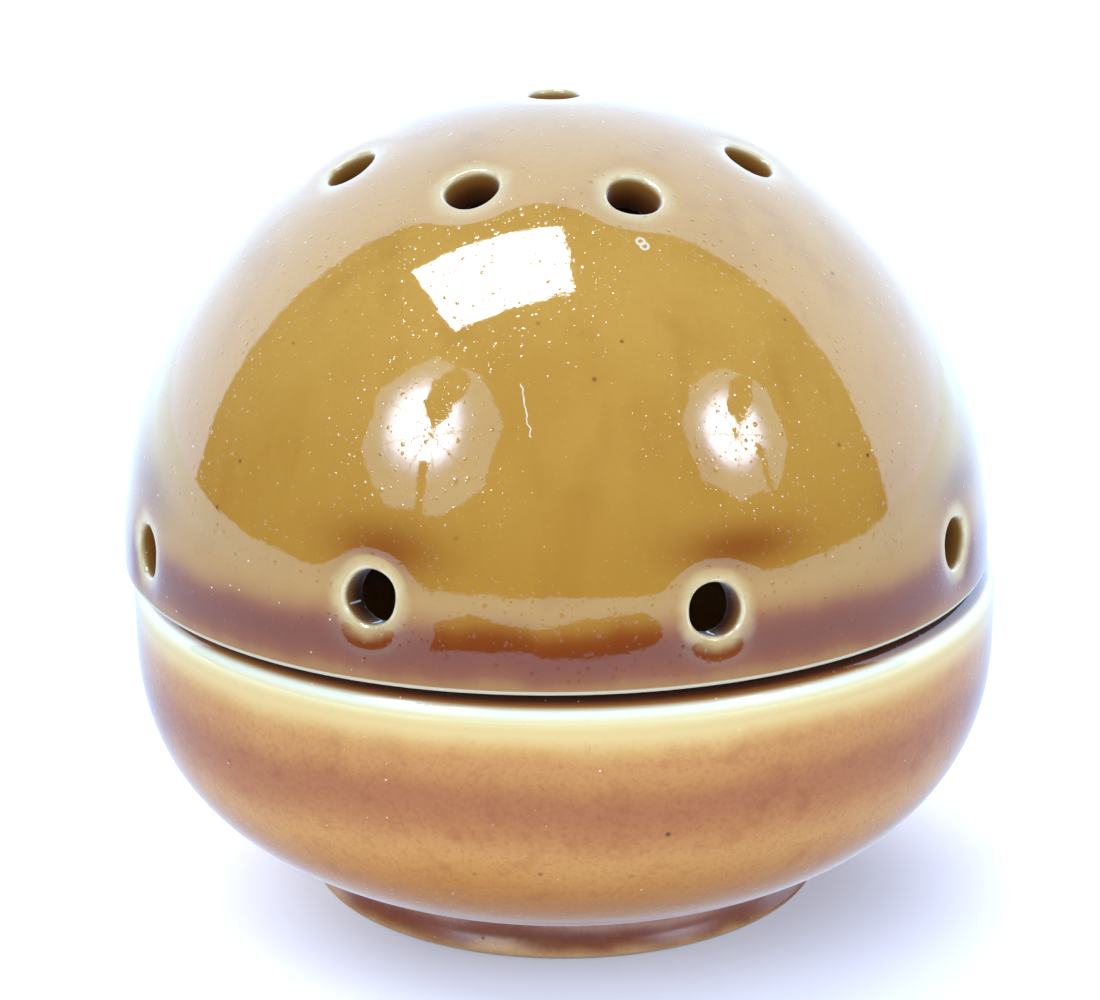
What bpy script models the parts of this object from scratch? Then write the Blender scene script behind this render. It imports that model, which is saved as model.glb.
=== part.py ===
"""Pierced ceramic pot: a footed bowl, its lift-off pierced lid and the sachet that lies inside.

Metres, +Z up. The origin is the middle of the foot ring's underside, on the surface that the
pot stands on. -Y is the front.
"""
import math

import bmesh
import bpy
from mathutils import Matrix, Vector

SEGMENTS = 48                # steps of each full turn
TOUCH_GAP = 0.0003           # air left between two pieces that touch
MERGE = 0.00001              # points closer than this are one point

# Bowl, outside
BOWL_RADIUS = 0.0500         # at the belly, its widest level
BELLY_HEIGHT = 0.0310
BELLY_DEPTH = 0.0294         # from the belly down to where the curve would meet the axis
BELLY_POWERS = (3.0, 2.3)    # of the belly's curve, across and down: 2 is an ellipse, more is fuller
RIM_HEIGHT = 0.0390
RIM_ROUND = 0.0034           # radius of the rim's outer shoulder

# Bowl, inside
MOUTH_RADIUS = 0.0446
MOUTH_ROUND = 0.0008
HOLLOW_DEPTH = 0.0230        # from the belly's level down to the hollow's floor

# Foot ring
FOOT_RADIUS = 0.0301
FOOT_WAIST_RADIUS = 0.0291
FOOT_WAIST_TOP = 0.0037      # the waist is straight between these two levels
FOOT_WAIST_BOTTOM = 0.0025
FOOT_FACE_INNER = 0.0272     # inner radius of the flat ring that the pot stands on
FOOT_ROUND = 0.0005
RECESS_RADIUS = 0.0262
RECESS_HEIGHT = 0.0030
RECESS_ROUND = 0.0010

# Lid
LID_RADIUS = 0.0500          # at its edge, where it is widest
LID_HEIGHT = 0.0527          # from the edge up to the pole
LID_POWER = 2.05             # of the dome's curve: 2 is an ellipse, more is fuller
LID_WALL = 0.0048
LID_SHIFT = -0.0009          # how far off centre, along X, the lid lies on the rim
EDGE_ROUND = 0.0005
FLANGE_RADIUS = 0.0433       # locating flange that drops inside the bowl's mouth
FLANGE_THICKNESS = 0.0024
FLANGE_DEPTH = 0.0046
FLANGE_ROUND = 0.0008
LID_EDGE_TILT = 86           # degrees down the dome where its outer curve ends
INNER_EDGE_TILT = 82         # and its inner curve

# Holes pierced through the lid, all square to the dome
HOLE_RADIUS = 0.0029
HOLE_SIDES = 16
CUTTER_LENGTH = 4 * LID_WALL
UPPER_TILT = 27.2            # degrees from straight up to the upper ring of holes
LOWER_TILT = 81.2            # and to the lower ring, just above the lid's edge
# The holes were pierced by hand: how far each one is off its even place, in degrees, round the
# lid and down it. Each ring starts right of the front and goes anticlockwise seen from above.
UPPER_SLIPS = ((-2.6, 0.8), (-0.6, -0.8), (1.2, 0.4), (-0.8, -0.6),
               (0.9, 0.5), (-1.4, 0.3), (0.1, 0.4), (0.6, -0.3))
LOWER_SLIPS = ((-3.2, -0.4), (-4.9, 0.6), (-2.0, -0.5), (0.8, 0.7),
               (2.2, -0.3), (1.6, 0.9), (1.3, 2.1), (-0.7, -1.7))

# Sachet
SACHET_SIDE = 0.0440
SACHET_HEIGHT = 0.0090
SACHET_SEAM = 0.0014         # thickness where its two faces are sealed together
SACHET_PULL_IN = 0.05        # share by which its sides draw in between the corners
SACHET_TURN = 24             # degrees, as it happens to lie
SACHET_CUTS = 4              # of its coarse cage, along each edge

LID_SEAT = RIM_HEIGHT + TOUCH_GAP
FLANGE_TOP = LID_SEAT + 0.0010   # where the flange's inner side meets the dome's inside
HOLLOW_FLOOR = BELLY_HEIGHT - HOLLOW_DEPTH


def clear_scene():
    for item in list(bpy.data.objects):
        bpy.data.objects.remove(item, do_unlink=True)


def new_collection(name):
    collection = bpy.data.collections.new(name)
    bpy.context.scene.collection.children.link(collection)
    return collection


def principled(name, colour, roughness):
    material = bpy.data.materials.new(name)
    material.use_nodes = True
    shader = material.node_tree.nodes["Principled BSDF"]
    shader.inputs["Base Color"].default_value = (*colour, 1.0)
    shader.inputs["Roughness"].default_value = roughness
    shader.inputs["Metallic"].default_value = 0.0
    material.diffuse_color = (*colour, 1.0)
    return material


def belly_curve(full_radius, depth, end_radius, steps):
    """From the belly's level down to end_radius: round at the belly and flatter underneath."""
    across, down = BELLY_POWERS
    last = math.acos((end_radius / full_radius) ** (across / 2))
    turns = [last * k / steps for k in range(steps + 1)]
    return [(full_radius * math.cos(t) ** (2 / across), BELLY_HEIGHT - depth * math.sin(t) ** (2 / down))
            for t in turns]


def dome_point(tilt, radius, height):
    """Point of the dome's section, tilt degrees down from the pole as seen from its middle."""
    across, up = math.sin(math.radians(tilt)), math.cos(math.radians(tilt))
    reach = ((across / radius) ** LID_POWER + (up / height) ** LID_POWER) ** (-1 / LID_POWER)
    return reach * across, LID_SEAT + reach * up


def arc(centre, radius, start, end, steps):
    """Points on a circular arc, in degrees anticlockwise from straight out."""
    turns = [math.radians(start + (end - start) * k / steps) for k in range(steps + 1)]
    return [(centre[0] + radius * math.cos(t), centre[1] + radius * math.sin(t)) for t in turns]


def bowl_profile():
    """From the middle of the hollow's floor over the rim and down to the recess in the foot."""
    hollow = belly_curve(MOUTH_RADIUS, HOLLOW_DEPTH, 0.0, 12)[::-1]
    lip = arc((MOUTH_RADIUS + MOUTH_ROUND, RIM_HEIGHT - MOUTH_ROUND), MOUTH_ROUND, 180, 90, 2)
    shoulder = arc((BOWL_RADIUS - RIM_ROUND, RIM_HEIGHT - RIM_ROUND), RIM_ROUND, 90, 0, 6)
    outside = belly_curve(BOWL_RADIUS, BELLY_DEPTH, FOOT_WAIST_RADIUS, 11)
    foot = [(FOOT_WAIST_RADIUS, FOOT_WAIST_TOP),
            (FOOT_WAIST_RADIUS, FOOT_WAIST_BOTTOM),
            (FOOT_RADIUS, 2 * FOOT_ROUND),
            (FOOT_RADIUS, FOOT_ROUND),
            (FOOT_RADIUS - FOOT_ROUND, 0.0),
            (FOOT_FACE_INNER, 0.0),
            (RECESS_RADIUS, RECESS_HEIGHT - RECESS_ROUND),
            (RECESS_RADIUS - RECESS_ROUND, RECESS_HEIGHT),
            (0.0, RECESS_HEIGHT)]
    return hollow + lip + shoulder + outside + foot


def dome_curve(radius, height, first_tilt, last_tilt, steps):
    tilts = [first_tilt + (last_tilt - first_tilt) * k / steps for k in range(steps + 1)]
    return [dome_point(tilt, radius, height) for tilt in tilts]


def pole_hole_tilt(height):
    """Tilt at which the hole at the pole meets a dome of this height."""
    return math.degrees(math.asin(HOLE_RADIUS / height))


def lid_profile():
    """A closed loop: down the dome, under the edge, round the flange and up the inside."""
    dome = dome_curve(LID_RADIUS, LID_HEIGHT, pole_hole_tilt(LID_HEIGHT), LID_EDGE_TILT, 11)
    edge = arc((LID_RADIUS - EDGE_ROUND, LID_SEAT + EDGE_ROUND), EDGE_ROUND, 0, -90, 2)
    tip_level = LID_SEAT - FLANGE_DEPTH + FLANGE_ROUND
    flange_inner = FLANGE_RADIUS - FLANGE_THICKNESS
    outer_tip = arc((FLANGE_RADIUS - FLANGE_ROUND, tip_level), FLANGE_ROUND, 0, -90, 2)
    inner_tip = arc((flange_inner + FLANGE_ROUND, tip_level), FLANGE_ROUND, -90, -180, 2)
    flange = [(FLANGE_RADIUS, LID_SEAT)] + outer_tip + inner_tip + [(flange_inner, FLANGE_TOP)]
    inner_height = LID_HEIGHT - LID_WALL
    inside = dome_curve(LID_RADIUS - LID_WALL, inner_height, INNER_EDGE_TILT,
                        pole_hole_tilt(inner_height), 8)
    return dome + edge + flange + inside


def turned(name, profile, closed, collection, material):
    """A piece turned about Z from its section."""
    mesh = bpy.data.meshes.new(name)
    edges = [(k, k + 1) for k in range(len(profile) - 1)]
    if closed:
        edges.append((len(profile) - 1, 0))
    mesh.from_pydata([(r, 0.0, z) for r, z in profile], edges, [])
    piece = bpy.data.objects.new(name, mesh)
    collection.objects.link(piece)
    piece.data.materials.append(material)
    screw = piece.modifiers.new("Turn", "SCREW")
    screw.axis = "Z"
    screw.steps = SEGMENTS
    screw.render_steps = SEGMENTS
    screw.use_merge_vertices = True
    screw.merge_threshold = MERGE
    screw.use_smooth_shade = True
    return piece


def pierced_directions():
    """Where each hole of the two rings points from the dome's middle."""
    for tilt, slips in ((UPPER_TILT, UPPER_SLIPS), (LOWER_TILT, LOWER_SLIPS)):
        for k, (turn_slip, tilt_slip) in enumerate(slips):
            turn = math.radians(360 * (k + 0.5) / len(slips) - 90 + turn_slip)
            down = math.radians(tilt + tilt_slip)
            yield Vector((math.sin(down) * math.cos(turn),
                          math.sin(down) * math.sin(turn),
                          math.cos(down)))


def hole_cutter(collection):
    """One mesh of separate cylinders, each long enough to pass right through the lid's wall."""
    bm = bmesh.new()
    for direction in pierced_directions():
        middle = Vector((0, 0, LID_SEAT)) + direction * (LID_RADIUS - LID_WALL / 2)
        place = Matrix.Translation(middle) @ direction.to_track_quat("Z", "Y").to_matrix().to_4x4()
        bmesh.ops.create_cone(bm, cap_ends=True, segments=HOLE_SIDES, radius1=HOLE_RADIUS,
                              radius2=HOLE_RADIUS, depth=CUTTER_LENGTH, matrix=place)
    mesh = bpy.data.meshes.new("hole_cutter")
    bm.to_mesh(mesh)
    bm.free()
    cutter = bpy.data.objects.new("hole_cutter", mesh)
    collection.objects.link(cutter)
    cutter.hide_render = True
    cutter.display_type = "WIRE"
    return cutter


def make_bowl(collection):
    glaze = principled("bowl_glaze", (0.50, 0.24, 0.08), 0.12)
    return turned("bowl", bowl_profile(), False, collection, glaze)


def make_lid(collection, cutters):
    glaze = principled("lid_glaze", (0.45, 0.26, 0.06), 0.10)
    lid = turned("lid", lid_profile(), True, collection, glaze)
    cutter = hole_cutter(cutters)
    pierce = lid.modifiers.new("Pierce", "BOOLEAN")
    pierce.operation = "DIFFERENCE"
    pierce.solver = "EXACT"
    pierce.object = cutter
    lid.location = (LID_SHIFT, 0.0, 0.0)
    cutter.location = lid.location
    return lid


def make_sachet(collection):
    """A pillow from a coarse cage: full in the middle, thin at its sealed edges."""
    bm = bmesh.new()
    bmesh.ops.create_cube(bm, size=1.0)
    bmesh.ops.subdivide_edges(bm, edges=bm.edges, cuts=SACHET_CUTS,
                              use_grid_fill=True)
    for vert in bm.verts:
        u, v = 2 * vert.co.x, 2 * vert.co.y
        fullness = (1 - abs(u) ** 3) * (1 - abs(v) ** 3)
        thickness = SACHET_SEAM + (SACHET_HEIGHT - SACHET_SEAM) * fullness
        pull_in = 1 - SACHET_PULL_IN * (1 - u * u * v * v)
        vert.co = Vector((u * pull_in * SACHET_SIDE / 2, v * pull_in * SACHET_SIDE / 2,
                          vert.co.z * thickness))
    mesh = bpy.data.meshes.new("desiccant_sachet")
    bm.to_mesh(mesh)
    bm.free()
    sachet = bpy.data.objects.new("desiccant_sachet", mesh)
    collection.objects.link(sachet)
    mesh.materials.append(principled("sachet_cloth", (0.78, 0.77, 0.72), 0.85))
    mesh.shade_smooth()
    smooth = sachet.modifiers.new("Soften", "SUBSURF")
    smooth.levels = 1
    smooth.render_levels = 1
    sachet.location = (0.0, 0.0, HOLLOW_FLOOR + TOUCH_GAP + SACHET_HEIGHT / 2)
    sachet.rotation_euler = (0.0, 0.0, math.radians(SACHET_TURN))
    return sachet


def build():
    clear_scene()
    parts = new_collection("pierced_ceramic_pot")
    cutters = new_collection("cutters")
    pot = bpy.data.objects.new("pot", None)
    parts.objects.link(pot)
    for piece in (make_bowl(parts), make_lid(parts, cutters), make_sachet(parts)):
        piece.parent = pot


build()
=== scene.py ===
import math
import random

import bmesh
import bpy
import numpy as np
from mathutils import Matrix, Vector, geometry, noise


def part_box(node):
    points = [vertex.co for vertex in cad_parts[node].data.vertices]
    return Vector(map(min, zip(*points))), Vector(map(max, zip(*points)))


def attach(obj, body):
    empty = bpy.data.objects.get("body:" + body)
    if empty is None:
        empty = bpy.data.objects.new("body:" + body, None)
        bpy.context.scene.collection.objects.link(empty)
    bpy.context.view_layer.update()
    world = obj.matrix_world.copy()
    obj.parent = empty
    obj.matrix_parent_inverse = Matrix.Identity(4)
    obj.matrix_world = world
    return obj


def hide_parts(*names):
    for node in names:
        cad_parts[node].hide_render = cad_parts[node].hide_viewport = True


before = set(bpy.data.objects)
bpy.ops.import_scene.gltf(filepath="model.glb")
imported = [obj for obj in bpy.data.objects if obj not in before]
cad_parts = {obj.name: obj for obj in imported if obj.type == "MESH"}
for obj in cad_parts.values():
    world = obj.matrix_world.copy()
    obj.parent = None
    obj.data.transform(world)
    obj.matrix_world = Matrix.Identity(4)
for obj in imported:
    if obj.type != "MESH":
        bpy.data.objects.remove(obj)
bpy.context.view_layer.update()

MM = 0.001
SEED = 7

# ---- sizes that part.py also has, but LID_HEIGHT is 0.3 mm more, so the top hole shows as in the photo
BOWL_RADIUS, BELLY_HEIGHT, BELLY_DEPTH = 0.0500, 0.0310, 0.0294
BELLY_POWERS = (3.0, 2.3)
RIM_HEIGHT, RIM_ROUND = 0.0390, 0.0034
MOUTH_RADIUS, MOUTH_ROUND, HOLLOW_DEPTH = 0.0446, 0.0008, 0.0230
FOOT_RADIUS, FOOT_WAIST_RADIUS = 0.0301, 0.0291
FOOT_WAIST_TOP, FOOT_WAIST_BOTTOM = 0.0037, 0.0025
FOOT_FACE_INNER, FOOT_ROUND = 0.0272, 0.0005
RECESS_RADIUS, RECESS_HEIGHT, RECESS_ROUND = 0.0262, 0.0030, 0.0010
LID_RADIUS, LID_HEIGHT, LID_POWER, LID_WALL = 0.0500, 0.0530, 2.05, 0.0048
LID_SEAT, LID_SHIFT = 0.0393, -0.0009
FLANGE_RADIUS, FLANGE_THICKNESS, FLANGE_DEPTH, FLANGE_ROUND = 0.0433, 0.0024, 0.0046, 0.0008
FLANGE_TOP = LID_SEAT + 0.0010
HOLE_RADIUS = 0.0029
UPPER_TILT, LOWER_TILT = 27.2, 81.2
UPPER_SLIPS = ((-2.6, 0.8), (-0.6, -0.8), (1.2, 0.4), (-0.8, -0.6),
               (0.9, 0.5), (-1.4, 0.3), (0.1, 0.4), (0.6, -0.3))
LOWER_SLIPS = ((-3.2, -0.4), (-4.9, 0.6), (-2.0, -0.5), (0.8, 0.7),
               (2.2, -0.3), (1.6, 0.9), (1.3, 2.1), (-0.7, -1.7))
SACHET_SIDE, SACHET_HEIGHT, SACHET_TURN = 0.0440, 0.0090, 24

# ---- sizes of the fine surface
TURN_STEPS = 360  # steps round the pot
SHEET_STEP = 0.00072  # between the lid's outer points
INSIDE_STEP = 0.00140  # between its inner points
HOLE_STEPS = 64  # points round each hole
RING_REACH = 0.0016  # how far the rings of points round a hole go out from its wall
LIP_WIDTH, LIP_DEPTH = 0.00045, 0.00055  # of the rounding where a hole meets the outside
INNER_LIP = 0.0006
HUB_RADIUS = 0.0060  # the bowl's hollow and recess are closed by a finer disc inside this
DIP_DEPTH, DIP_WIDTH = 0.00022, 0.0019  # the dome sinks a little towards each hole
LOWER_SAG, SAG_WIDTH = 1.5, 0.0025  # and more so under its lower holes
EDGE_ROUND = 0.0004  # finer than the CAD's
LIP_STEPS, WALL_STEPS, INNER_LIP_STEPS = 9, 7, 4
TRIANGLE_HEIGHT = 0.866  # of a triangle whose sides are all 1
# The clay's unevenness, as waves: each has its height in mm, its size in metres and a seed.
LID_WAVES = ((0.06, 0.016, 3), (0.014, 0.0045, 5))
BOWL_WAVES = ((0.05, 0.018, 9), (0.012, 0.005, 11))


def add_object(name, data):
    piece = bpy.data.objects.new(name, data)
    bpy.context.scene.collection.objects.link(piece)
    return piece


# ---- the dome and its holes
class Hole:
    """One hand-pierced hole: where it points from the dome's middle, and its uneven outline."""

    def __init__(self, direction, seed):
        self.axis = Vector(direction).normalized()
        self.side = Vector((0, 0, 1)).cross(self.axis)
        if self.side.length < 0.1:
            self.side = Vector((1, 0, 0))
        self.side.normalize()
        self.up = self.axis.cross(self.side)
        draw = random.Random(seed)
        self.waves = [(order, draw.uniform(-size, size), draw.uniform(0, math.tau))
                      for order, size in ((2, 0.045), (3, 0.030), (4, 0.016), (5, 0.012))]

    def radius(self, turn):
        """How far the wall is from the hole's axis, at each turn round it."""
        wave = sum(size * np.cos(order * turn + start) for order, size, start in self.waves)
        return HOLE_RADIUS * (1 + wave)

    def around(self, directions, reach):
        """Each direction's distance past the hole's wall, and its turn round the hole."""
        points = directions * reach[:, None]
        across, along = points @ np.array(self.side), points @ np.array(self.up)
        ahead = points @ np.array(self.axis)
        turn = np.arctan2(along, across)
        gap = np.hypot(across, along) - self.radius(turn)
        return np.where(ahead > 0, gap, 1.0), turn

    def ring(self, offset, dome):
        """Unit directions of a ring of points that far outside the hole's wall."""
        turn = np.arange(HOLE_STEPS) * math.tau / HOLE_STEPS
        wide = self.radius(turn) + offset
        ahead = np.sqrt(dome.reach(np.array([self.axis]))[0] ** 2 - wide ** 2)
        points = (np.outer(ahead, self.axis) + np.outer(wide * np.cos(turn), self.side)
                  + np.outer(wide * np.sin(turn), self.up))
        return points / np.linalg.norm(points, axis=1)[:, None]


class Dome:
    """The outer or inner skin of the lid, seen from the dome's middle."""

    def __init__(self, radius, height, edge_tilt):
        self.radius, self.height, self.edge_tilt = radius, height, math.radians(edge_tilt)

    def reach(self, directions):
        """Distance from the dome's middle to its skin, in each direction."""
        across = np.hypot(directions[:, 0], directions[:, 1]) / self.radius
        up = np.clip(directions[:, 2], 0, None) / self.height
        return (across ** LID_POWER + up ** LID_POWER) ** (-1 / LID_POWER)

    def fill(self, step):
        """Evenly spread unit directions from the pole down to the edge, on a golden spiral."""
        share = 1 - math.cos(self.edge_tilt)
        count = int(math.tau * self.radius * self.height * share / (TRIANGLE_HEIGHT * step ** 2))
        k = np.arange(count) + 0.5
        down = np.arccos(1 - share * k / count)
        turn = k * math.pi * (3 - math.sqrt(5))
        keep = down < self.edge_tilt - 0.6 * step / self.radius
        return directions_at(down, turn)[keep]

    def edge(self):
        turn = np.arange(TURN_STEPS) * math.tau / TURN_STEPS
        return directions_at(np.full(TURN_STEPS, self.edge_tilt), turn)


def directions_at(down, turn):
    """Unit directions, from their angles down from the crown and round the pot."""
    return np.stack([np.sin(down) * np.cos(turn), np.sin(down) * np.sin(turn), np.cos(down)], axis=1)


def pierced_holes():
    """The hole at the crown, then the upper and the lower row, each slipped a little by hand."""
    holes = [Hole((0, 0, 1), SEED)]
    for tilt, slips in ((UPPER_TILT, UPPER_SLIPS), (LOWER_TILT, LOWER_SLIPS)):
        for k, (turn_slip, tilt_slip) in enumerate(slips):
            turn = math.radians(360 * (k + 0.5) / len(slips) - 90 + turn_slip)
            down = math.radians(tilt + tilt_slip)
            direction = (math.sin(down) * math.cos(turn), math.sin(down) * math.sin(turn),
                         math.cos(down))
            holes.append(Hole(direction, SEED + 10 * len(holes)))
    return holes


def sheet(dome, holes, step, reach_out):
    """Points and triangles of a dome's skin. The holes' outer rings and the edge come first."""
    rings = [hole.ring(reach_out, dome) for hole in holes]
    points = dome.fill(step)
    far = np.ones(len(points), bool)
    for hole in holes:
        gap, _ = hole.around(points, dome.reach(points))
        far &= gap > reach_out + 0.6 * step
    loops = rings + [dome.edge()]
    spots = np.concatenate(loops + [points[far]])
    flat = spots[:, :2] / (1 + spots[:, 2:3])
    edges, start = [], 0
    for loop in loops:
        count = len(loop)
        edges += [(start + k, start + (k + 1) % count) for k in range(count)]
        start += count
    cut = geometry.delaunay_2d_cdt([Vector(p) for p in flat], edges, [], 0, 1e-9, True)
    origin = [ids[0] for ids in cut[3]]
    triangles = np.array([[origin[v] for v in face] for face in cut[2]])
    ring = np.where(triangles < len(holes) * HOLE_STEPS, triangles // HOLE_STEPS, -1)
    in_hole = (ring[:, 0] >= 0) & (ring[:, 0] == ring[:, 1]) & (ring[:, 0] == ring[:, 2])
    return spots, triangles[~in_hole]


def gaps(spots, dome, holes):
    """Distance from each point to the nearest hole's wall."""
    reach = dome.reach(spots)
    return np.min([hole.around(spots, reach)[0] for hole in holes], axis=0)


def wavy(points, scale, seed):
    """Smooth noise, about -1 to 1, at points in metres; scale is the waves' size in metres."""
    shift = Vector((seed, 2 * seed, 3 * seed))
    return np.array([noise.noise(Vector(p) / scale + shift) for p in points])


def unevenness(points, waves):
    """How far a hand-made surface swells out at each point, in metres."""
    return sum(height * MM * wavy(points, size, seed) for height, size, seed in waves)


def outer_points(spots, dome, holes):
    """The lid's outer skin: the dome, dipping towards its holes and gently uneven."""
    reach = dome.reach(spots)
    skin = spots * reach[:, None]
    dip = np.zeros(len(spots))
    for k, hole in enumerate(holes):
        gap, turn = hole.around(spots, reach)
        sag = LOWER_SAG * np.clip(-np.sin(turn), 0, 1) if k > len(UPPER_SLIPS) else 0.0
        gap = np.clip(gap, 0, None)
        dip += np.exp(-(gap / DIP_WIDTH) ** 2) + sag * np.exp(-(gap / SAG_WIDTH) ** 2)
    above_edge = np.clip(skin[:, 2] / 0.003 - 0.25, 0, 1)
    swell = unevenness(skin, LID_WAVES) * above_edge
    return skin + spots * (swell - DIP_DEPTH * dip)[:, None]


class MeshMaker:
    """Collects points, faces and the number each point carries, and makes one mesh of them."""

    def __init__(self):
        self.points, self.faces, self.lip, self.bare, self.cloud = [], [], [], [], []
        self.count = 0

    def add(self, points, lip=20.0, bare=0.0, cloud=0.0):
        """Adds points and returns their numbers."""
        first = self.count
        self.points.append(np.asarray(points, float).reshape(-1, 3))
        number = len(self.points[-1])
        for store, value in ((self.lip, lip), (self.bare, bare), (self.cloud, cloud)):
            store.append(np.broadcast_to(np.asarray(value, float), (number,)))
        self.count += number
        return np.arange(first, first + number)

    def band(self, upper, lower):
        """A closed strip of quads between two rings of point numbers."""
        self.faces += np.stack([upper, lower, np.roll(lower, -1), np.roll(upper, -1)], axis=1).tolist()

    def bands(self, rings):
        for upper, lower in zip(rings, rings[1:]):
            self.band(upper, lower)

    def triangles(self, corners):
        self.faces += corners.tolist()

    def build(self, name):
        mesh = bpy.data.meshes.new(name)
        mesh.from_pydata(np.concatenate(self.points).tolist(), [], self.faces)
        for label, store in (("lip_mm", self.lip), ("bare", self.bare), ("cloud", self.cloud)):
            attribute = mesh.attributes.new(label, "FLOAT", "POINT")
            attribute.data.foreach_set("value", np.concatenate(store).astype(np.float32))
        mesh.validate()
        mesh.shade_smooth()
        return add_object(name, mesh)


def ring_points(radius, height):
    turn = np.arange(TURN_STEPS) * math.tau / TURN_STEPS
    return np.stack([radius * np.cos(turn), radius * np.sin(turn), np.full(TURN_STEPS, height)], axis=1)


def arc(centre, radius, start, end, steps):
    """Points of a section on part of a circle, between two angles in degrees."""
    turns = [math.radians(start + (end - start) * k / steps) for k in range(steps + 1)]
    return [(centre[0] + radius * math.cos(t), centre[1] + radius * math.sin(t)) for t in turns]


def cloud_strength(points, holes):
    """Where glaze gathered above each lower hole."""
    total = np.zeros(len(points))
    for hole in holes[1 + len(UPPER_SLIPS):]:
        middle = np.array(hole.axis) * LID_RADIUS + np.array([0, 0, LID_SEAT + 0.0062])
        offset = points - middle
        across = offset @ np.array(hole.side)
        total += np.exp(-(across / 0.0062) ** 2 - (offset[:, 2] / 0.0024) ** 2)
    return total


def make_lid():
    """The glazed lid: its outer and inner skins, joined through the holes and round the edge."""
    holes = pierced_holes()
    outer = Dome(LID_RADIUS, LID_HEIGHT, 89.2)
    inner = Dome(LID_RADIUS - LID_WALL, LID_HEIGHT - LID_WALL, 88.3)
    middle = np.array([LID_SHIFT, 0, LID_SEAT])
    maker = MeshMaker()

    spots, corners = sheet(outer, holes, SHEET_STEP, RING_REACH)
    skin = outer_points(spots, outer, holes) + middle
    top = maker.add(skin, gaps(spots, outer, holes) / MM, 0, cloud_strength(skin, holes))
    maker.triangles(top[corners])

    inner_spots, inner_corners = sheet(inner, holes, INSIDE_STEP, INNER_LIP)
    under = maker.add(inner_spots * inner.reach(inner_spots)[:, None] + middle,
                      gaps(inner_spots, inner, holes) / MM)
    maker.triangles(under[inner_corners][:, ::-1])

    for k, hole in enumerate(holes):
        numbers = np.arange(k * HOLE_STEPS, (k + 1) * HOLE_STEPS)
        pierce(maker, hole, holes, outer, inner, middle, top[numbers], under[numbers])

    start = len(holes) * HOLE_STEPS
    edge = np.arange(start, start + TURN_STEPS)
    finish_edge(maker, top[edge], under[edge])
    return maker.build("lid_glazed")


def pierce(maker, hole, holes, outer, inner, middle, outer_ring, inner_ring):
    """Rings of quads from the outer skin over the lip, down the wall and out to the inner skin."""
    lip, wall_top = lip_rings(maker, hole, holes, outer, middle)
    wall = wall_rings(maker, hole, inner, middle, wall_top)
    rings = [outer_ring] + lip + wall + inner_lip_rings(maker, hole, inner, middle) + [inner_ring]
    for above, below in zip(rings, rings[1:]):
        maker.band(below, above)


def lip_rings(maker, hole, holes, outer, middle):
    """Rings that close in on the hole and turn over its rounded lip, and the points of the last."""
    rings = []
    for offset in (0.0014, 0.0011, 0.0009, 0.0007, LIP_WIDTH):
        spots = hole.ring(offset, outer)
        rings.append(maker.add(outer_points(spots, outer, holes) + middle, offset / MM))
    for k in range(1, LIP_STEPS + 1):
        turn = math.pi / 2 * k / LIP_STEPS
        offset, depth = LIP_WIDTH * (1 - math.sin(turn)), LIP_DEPTH * (1 - math.cos(turn))
        spots = hole.ring(offset, outer)
        points = outer_points(spots, outer, holes) + middle - np.array(hole.axis) * depth
        rings.append(maker.add(points, (offset - depth) / MM))
    return rings, points


def wall_rings(maker, hole, inner, middle, wall_top):
    rings = []
    spots = hole.ring(0.0, inner)
    wall_foot = spots * inner.reach(spots)[:, None] + middle + np.array(hole.axis) * INNER_LIP
    for k in range(1, WALL_STEPS + 1):
        points = wall_top + (wall_foot - wall_top) * k / WALL_STEPS
        deep = LIP_DEPTH + (LID_WALL - LIP_DEPTH) * k / WALL_STEPS
        rings.append(maker.add(points, -deep / MM))
    return rings


def inner_lip_rings(maker, hole, inner, middle):
    """Rings that turn out from the wall towards the inner skin."""
    rings = []
    for k in range(1, INNER_LIP_STEPS):
        turn = math.pi / 2 * k / INNER_LIP_STEPS
        spots = hole.ring(INNER_LIP * (1 - math.cos(turn)), inner)
        points = spots * inner.reach(spots)[:, None] + middle
        points = points + np.array(hole.axis) * INNER_LIP * (1 - math.sin(turn))
        rings.append(maker.add(points, -(LID_WALL / MM)))
    return rings


def finish_edge(maker, outer_edge, inner_edge):
    """From the outer skin round the lid's edge, along its seat and round the flange."""
    tip = LID_SEAT - FLANGE_DEPTH + FLANGE_ROUND
    flange_inner = FLANGE_RADIUS - FLANGE_THICKNESS
    section = arc((LID_RADIUS - EDGE_ROUND, LID_SEAT + EDGE_ROUND), EDGE_ROUND, -10, -90, 6)
    bare_from = len(section)
    section += [(LID_RADIUS - 0.0016, LID_SEAT), (FLANGE_RADIUS + 0.0018, LID_SEAT),
                (FLANGE_RADIUS + 0.0004, LID_SEAT), (FLANGE_RADIUS, LID_SEAT - 0.0004)]
    section += arc((FLANGE_RADIUS - FLANGE_ROUND, tip), FLANGE_ROUND, 0, -90, 6)
    section += arc((flange_inner + FLANGE_ROUND, tip), FLANGE_ROUND, -90, -180, 6)
    bare_to = len(section)
    section += [(flange_inner, LID_SEAT - 0.0006), (flange_inner, FLANGE_TOP - 0.0004),
                (flange_inner + 0.0004, FLANGE_TOP), (flange_inner + 0.0020, FLANGE_TOP),
                (flange_inner + 0.0036, FLANGE_TOP + 0.0001)]
    rings = [outer_edge]
    for k, (radius, height) in enumerate(section):
        points = ring_points(radius, height) + np.array([LID_SHIFT, 0, 0])
        rings.append(maker.add(points, bare=float(bare_from <= k < bare_to)))
    rings.append(inner_edge)
    maker.bands(rings)


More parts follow.
